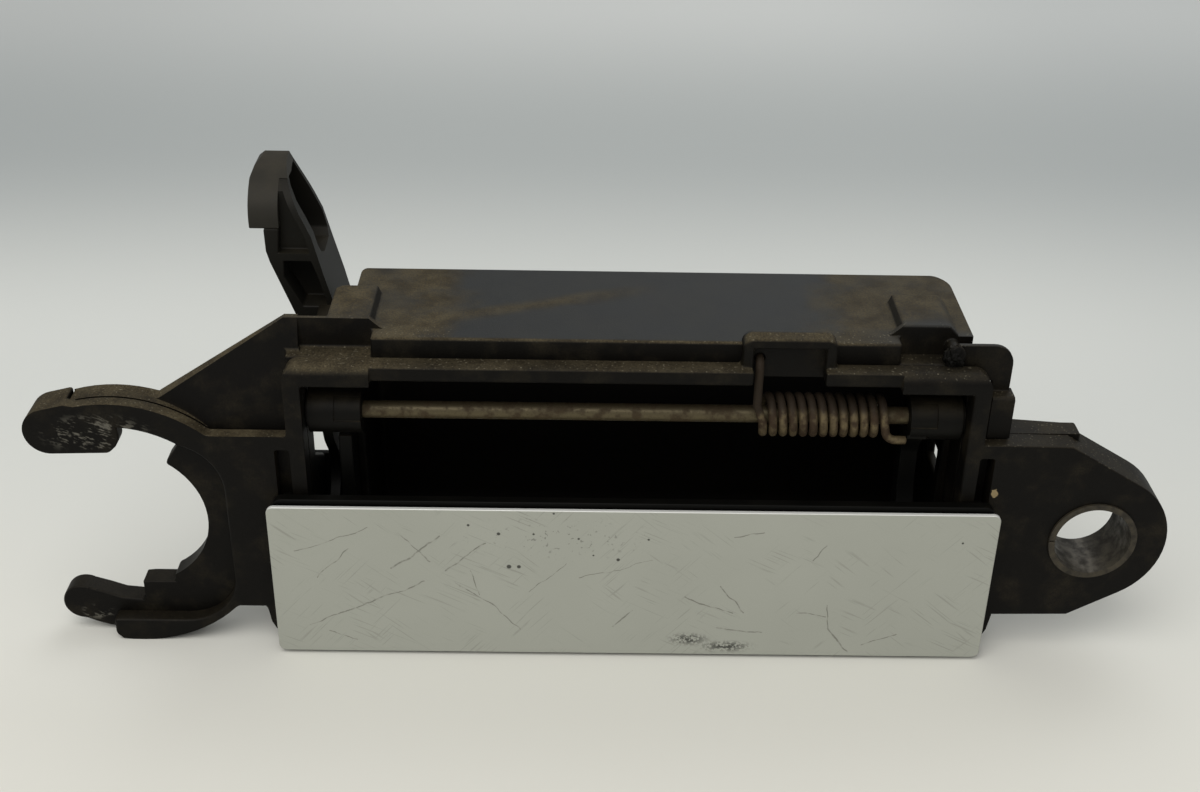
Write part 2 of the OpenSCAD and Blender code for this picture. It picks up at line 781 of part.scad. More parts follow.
module skin_nuts() {
    color(steel_col) place() both_sides() for (x = stud_x) difference() {
        bar_y(carrier_back + touch, carrier_back + 1.6, 4, x, stud_z);
        bar_y(carrier_back - over, carrier_back + 3, stud_r + touch, x, stud_z);
    }
}

module barrel_bush() {
    difference() {
        union() {
            bar_x(barrel_in, barrel_out + wall_fit, rod_r + 1.05);
            bar_x(barrel_out - 0.3 + touch, barrel_out + wall_fit, rod_r + 2);
        }
        bar_x(barrel_in - over, barrel_out + over, rod_bore_r);
    }
}

module barrel_bush_left() {
    color(bush_col) place() mirror([1, 0, 0]) barrel_bush();
}

module barrel_bush_right() {
    color(bush_col) place() barrel_bush();
}

// Two strips on the carrier that meet the frame's posts
module rattle_pads() {
    color(foam_col) place() both_sides()
        block(post_in + 0.3, slot_in - 0.2, carrier_back, front_y - wall_fit,
              slot_bottom + 4, skin_h - 4);
}

// ---- Latch lever ----

tip_low = lever_foot + 32.1;                   // underside of the contact pad
tip_left = crank_left - 12.7;
tip_right = crank_left - 6.8;
tip_rise = [14, 9.3];                          // depth and height of the pad's curve
tip_c = [lever_y + tip_rise.x, tip_low + 1.9];
tip_top = tip_c.y + tip_rise.y;
face_low = tip_low + 8.8;                      // above this the pad runs to the slanting edge
slant = [[-6.9, 12.9], [-5.4, 9.4], [-1.9, 1.6], [-0.5, -1.8], [1.4, -9.9]];

// Shifts points given from the crank arm's left face and the contact pad's underside
function from_tip(points) = [for (p = points) [crank_left, tip_low] + p];

// The pad's face from the side: upright, then curving back over the top
function tip_face(inset) = concat(
    [[lever_y + inset, tip_low]],
    [for (a = [180:-9:90]) tip_c + [(tip_rise.x - inset) * cos(a), (tip_rise.y - inset) * sin(a)]]
);

// The layer between two insets of that face, closed below the pad
function tip_layer(outer, inner) =
    let (back = tip_face(inner))
    concat(tip_face(outer), [for (i = [len(back) - 1:-1:0]) back[i]]);

// Lever from the side: the pad's curve above, and a foot for the screw
module lever_side() {
    polygon(concat(
        tip_face(0),
        [[lever_y + 15.6, tip_c.y + 1.7], [lever_y + 16, tip_c.y - 5], [lever_y + 16.5, tip_c.y - 12],
         [lever_y + 16.5, foot_top + 3], [lever_y + foot_depth, foot_top],
         [lever_y + foot_depth, lever_foot], [lever_y, lever_foot]]
    ));
}

// Lever from the front: it leans outwards as it rises
module lever_outline() {
    foot = [crank_left, lever_foot];
    polygon([
        foot + [-2, 0], foot + [-4.9, 13.2], foot + [-7.4, 20], foot + [-9.2, 24.9],
        foot + [-9.8, 27.3],
        each from_tip([[-9.9, 0], [-9.9, 12.9], each slant]),
        foot + [2.9, 16.5], foot + [4.4, 10], [crank_right, foot_top], [crank_right, lever_foot]
    ]);
}

// Two pockets that open to the front: a thin slanting rib is left beside the upper one
module front_pockets() {
    slab(lever_y - over, lever_y + lever_depth) polygon([
        [tip_right - touch, face_low], [tip_right - touch, tip_low],
        each from_tip([[-7.3, -5.3], [-1, -5.3], [-1.8, -1.8], [-3.2, 1.6], [-5.9, 7.2]])
    ]);
    slab(lever_y - over, lever_y + lever_depth + 3) polygon(from_tip([
        [-6.3, -6.9], [-0.9, -6.9], [0.2, -10.2], [1.6, -15.4], [1.7, -17], [-3.2, -17], [-6.6, -10.4]
    ]));
}

// Pocket in the inner side, behind the upper front pocket
module side_pocket() {
    front = lever_depth + 0.7;
    polygon([for (p = [
        [front, 5], [4.6, 7.6], [6.4, 8.9], [10, 9.9], [13, 10.1], [13.4, 8.5], [14.3, 3.5],
        [14.8, -3.3], [14.6, -5.6], [13, -7.2], [front + 3.5, -7.6], [front + 0.9, -6.6],
        [front, -4.6]
    ]) [lever_y, tip_low] + p]);
}

// The pad from the front: it runs across the lever's whole face above the upper pocket
module tip_outline(gap) {
    polygon([
        [tip_left, tip_low - gap], [tip_right + gap, tip_low - gap], [tip_right + gap, face_low - gap],
        [crank_left, face_low - gap], [crank_left, tip_top + over], [tip_left + 1.8, tip_top + over],
        [tip_left + 1.8, tip_top + 0.1], [tip_left + 0.5, tip_top - 0.9], [tip_left, tip_top - 2.3]
    ]);
}

module latch_lever() {
    color(moulding_col) place() {
        difference() {
            intersection() {
                slab(lever_y, lever_y + 22) lever_outline();
                side_slab(-2 * ring_x, 0) lever_side();
            }
            front_pockets();
            side_slab(tip_right - 0.2, 0) side_pocket();
            // seat of the contact pad
            intersection() {
                slab(lever_y - over, lever_y + 22) union() {
                    tip_outline(touch);
                    rect(tip_left - over, tip_left + 3, tip_low - touch, tip_top + over);
                }
                side_slab(-2 * ring_x, 0) polygon(tip_layer(-over, pad_t + touch));
            }
            bar_y(lever_y - over, lever_y + foot_depth + over, screw_r + touch,
                  lever_screw_x, lever_screw_z);
        }
        bar_y(lever_y - peg_len, lever_y + over, screw_r, lever_screw_x, peg_z);
    }
}

// The pad that pushes on the latch rod
module lever_tip() {
    color(moulding_col) place() intersection() {
        slab(lever_y - over, lever_y + 22) tip_outline(0);
        side_slab(-2 * ring_x, 0) polygon(tip_layer(0, pad_t));
        // ends at the lever's slanting edge
        slab(lever_y - over, lever_y + 22) polygon([
            [tip_left, tip_top + over], each from_tip(slant), [tip_left, foot_top]
        ]);
    }
}

// ---- Fasteners ----

// A pan-head screw along Y: its head at the back, its tip towards the front
module screw(x, z, y_tip, y_head) {
    difference() {
        union() {
            bar_y(y_tip, y_head, screw_r, x, z);
            bar_y(y_head, y_head + 1.8, screw_r * 1.9, x, z);
        }
        for (a = [0, 90]) translate([x, y_head + 1.8, z]) rotate([0, a, 0])
            cube([3.4, 1.8, 0.6], center = true);
    }
}

module lever_screw() {
    color(steel_col) place()
        screw(lever_screw_x, lever_screw_z, lever_y - 8, lever_y + foot_depth);
}

module frame_screws() {
    color(steel_col) place() for (z = frame_screw_z) {
        screw(frame_screw_x[0], z, front_y + 1.5, ring_back_y);
        screw(frame_screw_x[1], z, front_y + 2, flange_back_y);
    }
}

front_frame();
rear_housing();
rod_retainer();
bolt_bush();
hinge_rod();
return_spring();
flap_skin();
skin_pad();
flap_carrier();
skin_nuts();
barrel_bush_left();
barrel_bush_right();
rattle_pads();
latch_lever();
lever_tip();
lever_screw();
frame_screws();
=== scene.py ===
"""Car door handle: camera, room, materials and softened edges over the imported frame.

Places on the handle are in millimetres from the middle of the pull flap: X runs to the right,
Y into the door from the flap's face, and Z up from the flap's lower edge.
"""
import json
import math

import bmesh
import bpy
import numpy as np
from mathutils import Matrix, Vector, noise


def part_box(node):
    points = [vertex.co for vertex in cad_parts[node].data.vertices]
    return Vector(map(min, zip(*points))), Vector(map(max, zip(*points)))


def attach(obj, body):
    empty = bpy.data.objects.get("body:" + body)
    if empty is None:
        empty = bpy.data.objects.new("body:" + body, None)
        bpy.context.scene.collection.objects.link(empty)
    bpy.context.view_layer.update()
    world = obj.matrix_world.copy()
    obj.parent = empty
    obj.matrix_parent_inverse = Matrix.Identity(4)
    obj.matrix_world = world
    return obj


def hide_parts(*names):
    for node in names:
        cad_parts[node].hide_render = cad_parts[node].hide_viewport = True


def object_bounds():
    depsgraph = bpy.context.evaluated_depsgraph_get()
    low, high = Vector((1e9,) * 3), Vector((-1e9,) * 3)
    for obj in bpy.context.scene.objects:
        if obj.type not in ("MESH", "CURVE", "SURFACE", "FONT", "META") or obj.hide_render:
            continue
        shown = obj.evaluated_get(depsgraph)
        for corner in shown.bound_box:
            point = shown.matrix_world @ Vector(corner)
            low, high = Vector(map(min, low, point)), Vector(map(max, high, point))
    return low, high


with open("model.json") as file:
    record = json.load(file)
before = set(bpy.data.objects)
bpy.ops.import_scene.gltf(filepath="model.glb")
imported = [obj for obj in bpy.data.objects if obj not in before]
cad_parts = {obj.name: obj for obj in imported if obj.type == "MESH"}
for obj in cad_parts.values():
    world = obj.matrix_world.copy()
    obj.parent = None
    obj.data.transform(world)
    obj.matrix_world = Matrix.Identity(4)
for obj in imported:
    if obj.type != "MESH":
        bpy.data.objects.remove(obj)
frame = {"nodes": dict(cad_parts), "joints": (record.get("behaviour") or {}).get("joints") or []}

CAD_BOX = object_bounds()
MM = 0.001

# The middle of the flap's width, on its face and at its lower edge, in the shared frame
FLAP_LOW, FLAP_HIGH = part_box("flap_skin")
FLAP_MIDDLE = Vector(((FLAP_LOW.x + FLAP_HIGH.x) / 2, FLAP_LOW.y, FLAP_LOW.z)) / MM
# The hinge rod's axis, measured from there; the flap's pull is the only joint
HINGE = Vector(frame["joints"][0]["pos_m"]) / MM - FLAP_MIDDLE


def srgb(red, green, blue):
    """A colour given as 0 to 255 on the screen, as a shader takes it."""
    def linear(value):
        value /= 255.0
        return value / 12.92 if value <= 0.04045 else ((value + 0.055) / 1.055) ** 2.4
    return (linear(red), linear(green), linear(blue), 1.0)


def place(x, y, z):
    """A point in millimetres from the flap's middle, as metres in the shared frame."""
    return (Vector((x, y, z)) + FLAP_MIDDLE) * MM


def link_object(name, data):
    made = bpy.data.objects.new(name, data)
    bpy.context.scene.collection.objects.link(made)
    return made


# ---------------------------------------------------------------- camera and room

# Where the camera stands, how far it looks down, right and askew, and its lens
CAMERA_PLACE = (-11.0, -257.7, 209.7)
CAMERA_DOWN = math.radians(29.82)
CAMERA_RIGHT = math.radians(0.82)
CAMERA_ASKEW = math.radians(1.14)
SENSOR_WIDTH = 36.0
FOCAL_LENGTH = 47.06
NEAREST_SEEN = 0.01
FARTHEST_SEEN = 20.0

# The lights look at a point in the middle of the handle, in metres
LIGHT_TARGET = Vector((-0.1, 0.0, 0.0))


def make_camera():
    forward = Vector((
        math.sin(CAMERA_RIGHT) * math.cos(CAMERA_DOWN),
        math.cos(CAMERA_RIGHT) * math.cos(CAMERA_DOWN),
        -math.sin(CAMERA_DOWN),
    ))
    level = Vector((math.cos(CAMERA_RIGHT), -math.sin(CAMERA_RIGHT), 0.0))
    upright = level.cross(forward)
    right = level * math.cos(CAMERA_ASKEW) + upright * math.sin(CAMERA_ASKEW)
    up = upright * math.cos(CAMERA_ASKEW) - level * math.sin(CAMERA_ASKEW)
    data = bpy.data.cameras.new("camera")
    data.sensor_width = SENSOR_WIDTH
    data.lens = FOCAL_LENGTH
    data.clip_start = NEAREST_SEEN
    data.clip_end = FARTHEST_SEEN
    camera = link_object("camera", data)
    turn = Matrix((right, up, -forward)).transposed()
    camera.matrix_world = Matrix.Translation(place(*CAMERA_PLACE)) @ turn.to_4x4()
    bpy.context.scene.camera = camera


def make_light(name, location, size, power, colour):
    """A square lamp, size metres wide, that looks at the handle."""
    data = bpy.data.lights.new(name, "AREA")
    data.shape = "SQUARE"
    data.size = size
    data.energy = power
    data.color = colour
    light = link_object(name, data)
    light.location = location
    light.rotation_mode = "QUATERNION"
    light.rotation_quaternion = (LIGHT_TARGET - light.location).to_track_quat("-Z", "Y")


def make_world(colour, strength):
    world = bpy.data.worlds.new("studio")
    world.use_nodes = True
    background = world.node_tree.nodes["Background"]
    background.inputs["Color"].default_value = colour
    background.inputs["Strength"].default_value = strength
    bpy.context.scene.world = world


def make_room():
    """A pale sheet that lies flat under the handle and curves up behind it, in metres."""
    floor = CAD_BOX[0].z
    half_width = 1.6
    front = -1.2
    bend = 0.55
    radius = 0.6
    height = 1.6
    steps = 24
    profile = [(front, floor), (bend, floor)]
    for i in range(1, steps + 1):
        angle = math.pi / 2 * i / steps
        profile.append((bend + radius * math.sin(angle), floor + radius * (1 - math.cos(angle))))
    profile.append((bend + radius, floor + height))
    points = [(side * half_width, y, z) for y, z in profile for side in (-1, 1)]
    faces = [(2 * i, 2 * i + 1, 2 * i + 3, 2 * i + 2) for i in range(len(profile) - 1)]
    sheet = new_object("sheet", points, faces)
    sheet.data.materials.append(sheet_material())


# ---------------------------------------------------------------- shader helpers

SOCKETS = {
    "colour": "Base Color",
    "metallic": "Metallic",
    "roughness": "Roughness",
    "specular": "Specular IOR Level",
}


class Shader:
    """A material being built: short calls for the nodes that these looks share."""

    def __init__(self, name):
        self.material = bpy.data.materials.new(name)
        self.material.use_nodes = True
        self.tree = self.material.node_tree
        self.surface = self.tree.nodes["Principled BSDF"]
        self.where = self.tree.nodes.new("ShaderNodeTexCoord")

    def node(self, kind, **settings):
        made = self.tree.nodes.new("ShaderNode" + kind)
        for key, value in settings.items():
            setattr(made, key, value)
        return made

    def feed(self, socket, value):
        """Links a socket to another node's output, or sets it to a plain number or colour."""
        if isinstance(value, bpy.types.NodeSocket):
            self.tree.links.new(value, socket)
        else:
            socket.default_value = value

    def set(self, **values):
        """Feeds the surface's own sockets and gives back the finished material."""
        for key, value in values.items():
            self.feed(self.surface.inputs[SOCKETS[key]], value)
        return self.material

    # Numbers

    def math(self, operation, first, second=0.0, clamp=False):
        made = self.node("Math", operation=operation, use_clamp=clamp)
        self.feed(made.inputs[0], first)
        self.feed(made.inputs[1], second)
        return made.outputs[0]

    def plus(self, first, second):
        return self.math("ADD", first, second)

    def minus(self, first, second):
        return self.math("SUBTRACT", first, second)

    def rest(self, share):
        """What is left of 1 when share is taken from it."""
        return self.minus(1.0, share)

    def absolute(self, value):
        return self.math("ABSOLUTE", value)

    def times(self, *values):
        product = values[0]
        for value in values[1:]:
            product = self.math("MULTIPLY", product, value)
        return product

    def largest(self, *values):
        found = values[0]
        for value in values[1:]:
            found = self.math("MAXIMUM", found, value)
        return found

    def remap(self, value, low, high, to_low=0.0, to_high=1.0):
        """A smooth step from to_low, where value is low, to to_high, where it is high."""
        made = self.node("MapRange", interpolation_type="SMOOTHSTEP")
        self.feed(made.inputs["Value"], value)
        for key, number in (("From Min", low), ("From Max", high), ("To Min", to_low), ("To Max", to_high)):
            made.inputs[key].default_value = number
        return made.outputs["Result"]

    def above(self, value, edge, soft):
        """0 below edge and 1 above it, changing over soft on either side."""
        return self.remap(value, edge - soft, edge + soft)

    def below(self, value, edge, soft):
        """1 below edge and 0 above it, changing over soft on either side."""
        return self.remap(value, edge + soft, edge - soft)

    def blend(self, amount, first, second):
        """A number that goes from first to second with amount."""
        made = self.node("Mix", data_type="FLOAT")
        self.feed(made.inputs["Factor"], amount)
        self.feed(made.inputs[2], first)
        self.feed(made.inputs[3], second)
        return made.outputs[0]

    # Colours

    def mix(self, amount, first, second):
        """A colour that goes from first to second with amount."""
        made = self.node("Mix", data_type="RGBA")
        self.feed(made.inputs["Factor"], amount)
        self.feed(made.inputs[6], first)
        self.feed(made.inputs[7], second)
        return made.outputs[2]

    # Places and patterns

    def vector(self, operation, first, second=(0, 0, 0), scale=1.0, third=(0, 0, 0)):
        made = self.node("VectorMath", operation=operation)
        self.feed(made.inputs[0], first)
        self.feed(made.inputs[1], second)
        if operation == "MULTIPLY_ADD":
            self.feed(made.inputs[2], third)
        if operation == "SCALE":
            self.feed(made.inputs["Scale"], scale)
        return made.outputs["Value" if operation in ("DOT_PRODUCT", "LENGTH", "DISTANCE") else "Vector"]

    def split(self, vector):
        made = self.node("SeparateXYZ")
        self.feed(made.inputs[0], vector)
        return made.outputs

    def position(self):
        """Millimetres from the flap's middle, its face and its lower edge."""
        return self.vector("MULTIPLY_ADD", self.where.outputs["Object"], (1 / MM,) * 3, third=-FLAP_MIDDLE)

    def axes(self):
        return self.split(self.position())

    def noise(self, size_mm, detail=3.0, roughness=0.55, stretch=(1, 1, 1), turn=0.0):
        """Noise in blotches about size_mm across, fixed to the piece; turned about Y, then stretched."""
        coordinate = self.where.outputs["Object"]
        if turn:
            rotate = self.node("VectorRotate", rotation_type="Y_AXIS")
            self.feed(rotate.inputs["Vector"], coordinate)
            rotate.inputs["Angle"].default_value = math.radians(turn)
            coordinate = rotate.outputs["Vector"]
        if stretch != (1, 1, 1):
            scale = self.node("Mapping")
            self.feed(scale.inputs["Vector"], coordinate)
            scale.inputs["Scale"].default_value = stretch
            coordinate = scale.outputs["Vector"]
        made = self.node("TexNoise")
        self.feed(made.inputs["Vector"], coordinate)
        made.inputs["Scale"].default_value = 1.0 / (size_mm * MM)
        made.inputs["Detail"].default_value = detail
        made.inputs["Roughness"].default_value = roughness
        return made.outputs["Fac"]

    def spot(self, centre, reach, soft):
        """1 inside a ball round centre that is drawn out to reach along each axis, 0 outside."""
        shares = tuple(1.0 / r for r in reach)
        away = self.vector("MULTIPLY", self.vector("SUBTRACT", self.position(), centre), shares)
        return self.remap(self.vector("LENGTH", away), 1.0, 1.0 - soft)

    def stroke(self, here, start, end, half_width):
        """1 along a straight scratch between two points of the flap's face, 0 from half_width out."""
        full_strength = 0.4
        start = Vector((start[0], 0.0, start[1]))
        end = Vector((end[0], 0.0, end[1]))
        run = end - start
        offset = self.vector("SUBTRACT", here, start)
        share = self.vector("DOT_PRODUCT", offset, run / run.length_squared)
        share = self.math("ADD", share, 0.0, clamp=True)
        nearest = self.vector("SCALE", run, scale=share)
        away = self.vector("DISTANCE", offset, nearest)
        return self.remap(away, half_width, half_width * full_strength)

    def facing_up(self, low=0.25, high=0.95):
        """0 on walls, 1 on faces that look up in the piece's own frame."""
        return self.remap(self.split(self.where.outputs["Normal"])["Z"], low, high)

    def corner(self, reach_mm):
        """1 in corners and grooves of the piece, 0 in the open."""
        made = self.node("AmbientOcclusion", samples=8, only_local=True)
        made.inputs["Distance"].default_value = reach_mm * MM
        return self.remap(made.outputs["AO"], 0.95, 0.35)

    def bump(self, height, strength, depth_mm):
        made = self.node("Bump")
        made.inputs["Strength"].default_value = strength
        made.inputs["Distance"].default_value = depth_mm * MM
        self.feed(made.inputs["Height"], height)
        self.feed(self.surface.inputs["Normal"], made.outputs["Normal"])


def sheet_material():
    """Pale paper with painted shade: light under the handle, greyer where it turns up and towards its sides.

    The places where it changes are in metres.
    """
    # Painted shade and light: a little darker behind the handle, greyest where it turns up, lighter again up
    # the back, greyer to the sides
    under, beyond = srgb(218, 217, 209), srgb(207, 209, 205)
    painted_bend_shade_grey, upright_grey, painted_side_shade_grey = srgb(168, 172, 171), srgb(197, 199, 197), srgb(150, 155, 156)
    shade = Shader("pale_sheet")
    aside, deep = shade.split(shade.where.outputs["Object"])[:2]
    turning = shade.remap(deep, 0.13, 0.29)
    colour = shade.mix(shade.remap(deep, -0.05, 0.12), under, beyond)
    colour = shade.mix(turning, colour, painted_bend_shade_grey)
    colour = shade.mix(shade.remap(deep, 0.30, 0.50), colour, upright_grey)
    right = shade.remap(aside, -0.02, 0.14, to_high=0.25)
    left = shade.times(shade.remap(aside, -0.15, -0.35, to_high=0.25), turning)
    colour = shade.mix(shade.plus(left, right), colour, painted_side_shade_grey)
    return shade.set(colour=colour, roughness=0.8, specular=0.2)


# ---------------------------------------------------------------- the black mouldings

# The recess box's top: just under its height, its front edge, and half of its clean stretch
DECK_HEIGHT = 68.3
DECK_FRONT = 9.8
DECK_CLEAN_HALF = 51.5
# The ledge in front of it: the heights and ends that its top lies between
LEDGE_BOTTOM = 63.9
LEDGE_TOP = 65.6
LEDGE_LEFT = -47.0
LEDGE_RIGHT = 48.5

# The retainer's melted peg: the middle of its head, and how far that reaches along each axis
STAKE_MIDDLE = Vector((61.2, 9.0, 66.4))
STAKE_REACH = Vector((2.0, 1.4, 2.6))

# Scuffs on the lock ring's two hooks: middle and reach
HOOK_SCUFFS = (
    ((-105.0, 4.0, 49.5), (13.0, 2.0, 5.5)),
    ((-112.2, 7.3, 3.8), (4.2, 2.0, 2.4)),
)


def khaki(shade, fine):
    """Road dust, from damp brown to dry khaki, with a fine grain."""
    damp, dry = srgb(51, 44, 31), srgb(82, 74, 56)
    coarse = shade.noise(5.0, detail=4.0, roughness=0.6)
    patch = shade.plus(shade.times(coarse, 0.6), shade.times(fine, 0.4))
    return shade.mix(shade.remap(patch, 0.32, 0.66), damp, dry)


def wiped_deck(shade, x, y, z, blotch):
    """Two masks: the recess box's top, and the part of it that is clean.

    The middle is clean, apart from a smear of dust that runs in from the left.
    """
    smear_left, smear_y, smear_slope = -48.0, 15.0, 0.34
    deck = shade.times(shade.above(z, DECK_HEIGHT, 0.3), shade.above(y, DECK_FRONT, 0.4))
    ragged_x = shade.plus(shade.absolute(x), shade.times(blotch, 26.0))
    middle = shade.below(ragged_x, DECK_CLEAN_HALF, 6.5)
    climb = shade.times(shade.minus(x, smear_left), smear_slope)
    off_line = shade.absolute(shade.minus(shade.minus(y, smear_y), climb))
    ragged_line = shade.plus(off_line, shade.times(blotch, 6.0))
    smear = shade.times(shade.below(ragged_line, 5.25, 1.75), shade.below(x, -3.0, 11.0))
    return deck, shade.times(deck, middle, shade.rest(shade.times(smear, 0.75)))


def settled_dust(shade, x, y, z, blotch, wiped):
    """Share of full dust on what faces up: less where wiped, on the ledge and at the right."""
    patchy = shade.remap(blotch, 0.30, 0.60, to_low=0.5)
    on_the_box = shade.remap(y, 12.0, 17.0, to_high=0.8)
    to_the_right = shade.largest(shade.remap(x, 30.0, 58.0, to_low=1.0, to_high=0.28), on_the_box)
    ledge = shade.times(
        shade.above(z, LEDGE_BOTTOM, 0.4),
        shade.below(z, LEDGE_TOP, 0.4),
        shade.above(x, LEDGE_LEFT, 5.0),
        shade.below(x, LEDGE_RIGHT, 1.5),
    )
    left_on = shade.times(shade.rest(shade.times(wiped, 0.92)), shade.rest(shade.times(ledge, 0.4)))
    return shade.times(patchy, to_the_right, left_on)


def scuffed_hooks(shade):
    """Pale scuffs in short slanting streaks."""
    streaks = shade.noise(0.5, roughness=0.6, stretch=(0.3, 1, 1), turn=-20.0)
    broken = shade.plus(shade.times(streaks, 0.6), shade.times(shade.noise(3.5, detail=4.0), 0.6))
    hooks = shade.largest(*[shade.spot(middle, reach, soft=0.6) for middle, reach in HOOK_SCUFFS])
    return shade.times(hooks, shade.remap(broken, 0.60, 0.70, to_high=0.75))


def clot_of_mud(shade):
    """A pale clot of mud on the right flange, beside the slot."""
    near = shade.spot((72.0, 5.0, 38.4), (2.0, 6.0, 2.6), soft=1.0)
    return shade.remap(shade.plus(near, shade.noise(1.0)), 1.08, 1.18)


def moulding_material():
    """Black moulded plastic; khaki dust lies on what faces up, and most of it high on the handle."""
    black, dull_black, painted_reflection_grey = srgb(5, 4, 3), srgb(10, 8, 5), srgb(39, 41, 42)
    pale_grit, pale_scuff = srgb(124, 118, 100), srgb(104, 101, 92)
    mud, stake_and_shadow_black = srgb(140, 124, 92), srgb(5, 5, 4)
    shade = Shader("dusty_moulding")
    x, y, z = shade.axes()
    blotch = shade.noise(14.0, detail=4.0)
    fine = shade.noise(0.4, detail=4.0, roughness=0.7)
    up = shade.facing_up()
    high = shade.remap(z, 25.0, 52.0, to_low=0.12)
    deck, wiped = wiped_deck(shade, x, y, z, blotch)
    not_wiped = shade.rest(wiped)

    settled = shade.times(up, high, settled_dust(shade, x, y, z, blotch, wiped))
    caught = shade.times(shade.corner(5.0), high, shade.remap(blotch, 0.35, 0.7, to_low=0.08, to_high=0.4))
    cloudy = shade.remap(shade.noise(8.0, detail=6.0, roughness=0.62), 0.46, 0.70, to_high=0.16)
    film = shade.times(cloudy, shade.below(y, 17.0, 3.0), not_wiped)
    dust = shade.times(shade.largest(settled, caught, film), shade.remap(fine, 0.30, 0.60, to_low=0.55))
    colour = shade.mix(blotch, black, dull_black)
    # Painted reflection: the box's top, where it faces up, is grey instead of black; the dust lies over it
    colour = shade.mix(shade.times(deck, up), colour, painted_reflection_grey)
    colour = shade.mix(dust, colour, khaki(shade, fine))

    grains = shade.remap(shade.noise(0.45, detail=0.0), 0.72, 0.78, to_high=0.4)
    grit = shade.times(grains, up, high, shade.below(y, 14.5, 1.0), not_wiped)
    # The melted peg's head is darker, and round it a painted shadow darkens the moulding
    stake_and_shadow_spot = shade.spot(STAKE_MIDDLE, (2.8, 3.0, 3.4), soft=0.5)
    colour = shade.mix(grit, colour, pale_grit)
    colour = shade.mix(scuffed_hooks(shade), colour, pale_scuff)
    colour = shade.mix(clot_of_mud(shade), colour, mud)
    colour = shade.mix(shade.times(stake_and_shadow_spot, 0.8), colour, stake_and_shadow_black)
    grain = shade.noise(0.3, detail=2.0)
    shade.bump(shade.plus(grain, shade.times(dust, fine)), strength=0.3, depth_mm=0.08)
    return shade.set(colour=colour, roughness=shade.blend(dust, 0.52, 0.95), specular=0.12)


def plastic_material(name, dark, light, dusty):
    """Smoother black plastic of the moving parts, with a film of dust; painted shade darkens it down in the
    recess.
    """
    shade = Shader(name)
    y, z = shade.axes()[1:]
    blotch = shade.noise(9.0, detail=4.0)
    fine = shade.noise(0.4, detail=4.0, roughness=0.65)
    settled = shade.times(shade.facing_up(), shade.remap(blotch, 0.35, 0.7, to_low=0.2))
    caught = shade.times(shade.corner(3.0), 0.3)
    dust = shade.times(shade.largest(settled, caught), dusty)
    colour = shade.mix(dust, shade.mix(blotch, dark, light), khaki(shade, fine))
    # Painted shade: near-black low down and behind the flap's face, where the recess lies in shadow
    painted_recess_shade = shade.times(shade.below(z, 46.25, 1.25), shade.above(y, 1.1, 0.5), 0.95)
    colour = shade.mix(painted_recess_shade, colour, srgb(3, 3, 2))
    shade.bump(fine, strength=0.2, depth_mm=0.06)
    return shade.set(colour=colour, roughness=shade.blend(dust, 0.5, 0.9), specular=0.11)


# ---------------------------------------------------------------- the silver flap

# Scratches that can be told apart on the flap's face: start, end, half width in millimetres
SCRATCHES = (
    ((-47, 30), (-41, 23), 0.16), ((-49, 21), (-39, 29), 0.24), ((-68, 25), (-53, 31), 0.14),
    ((-64, 19), (-57, 26), 0.14), ((-38, 21), (-30, 28), 0.18), ((-66, 7), (-49, 15), 0.20),
    ((-49, 15), (-42, 18), 0.18), ((-36, 18), (-28, 12), 0.18), ((-28, 12), (-23, 6), 0.15),
    ((-33, 21), (-31, 15), 0.14), ((-4, 7), (0, 11), 0.22), ((11, 15), (16, 12), 0.18),
    ((16, 12), (21, 11), 0.15), ((18, 18), (23, 11), 0.20), ((18, 7), (27, 6), 0.18),
    ((34, 11), (40, 10), 0.14), ((40, 13), (41, 7), 0.18), ((41, 7), (45, 1), 0.22),
    ((48, 3), (55, 6), 0.18), ((20, 30), (26, 31), 0.16), ((36, 24), (39, 28), 0.15),
    ((-21, 16), (-13, 23), 0.12), ((-62, 5), (-57, 3), 0.15), ((-11, 19), (4, 24), 0.12),
)
# Directions of the hairline scratches, in degrees
HAIRLINE_TURNS = (-26.0, -40.0, 48.0)
# Black specks on the flap's face: place and radius in millimetres
SPECKS = (
    (-27, 30, 0.45), (-25, 22, 0.6), (-23, 22, 0.5), (-33, 32, 0.35), (-20, 30, 0.3), (-11, 29, 0.3),
    (-3, 24, 0.45), (3, 29, 0.3), (66, 29, 0.3), (-8, 25, 0.25), (-16, 35, 0.3),
)
# The two halves of the smudge by the lower edge, and the worn patch: middle and reach
SMUDGES = (
    ((12.0, 0.0, 4.0), (5.5, 3.0, 2.2)),
    ((20.0, 0.0, 2.2), (7.5, 3.0, 2.0)),
)
WORN_PATCH = ((-15.0, 0.0, 29.0), (26.0, 3.0, 7.0))


def wavering_place(shade):
    """The place on the flap's face, bent a little, so that no scratch is as straight as a ruler."""
    wave_mm = 5.0
    bend_mm = 2.0
    waves = shade.node("TexNoise")
    shade.feed(waves.inputs["Vector"], shade.where.outputs["Object"])
    waves.inputs["Scale"].default_value = 1.0 / (wave_mm * MM)
    bend = shade.vector("SUBTRACT", waves.outputs["Color"], (0.5, 0.5, 0.5))
    here = shade.vector("MULTIPLY_ADD", bend, (bend_mm,) * 3, third=shade.position())
    return shade.vector("MULTIPLY", here, (1.0, 0.0, 1.0))


def hairlines(shade, turn, amount):
    """Hairline scratches in one direction, in loose patches."""
    lines = shade.noise(0.30, detail=0.0, roughness=0.4, stretch=(0.03, 1, 1), turn=turn)
    patch = shade.noise(10.0, detail=2.0, turn=turn)
    return shade.times(shade.remap(lines, 0.68, 0.76), shade.remap(patch, 0.48, 0.66, to_high=amount))


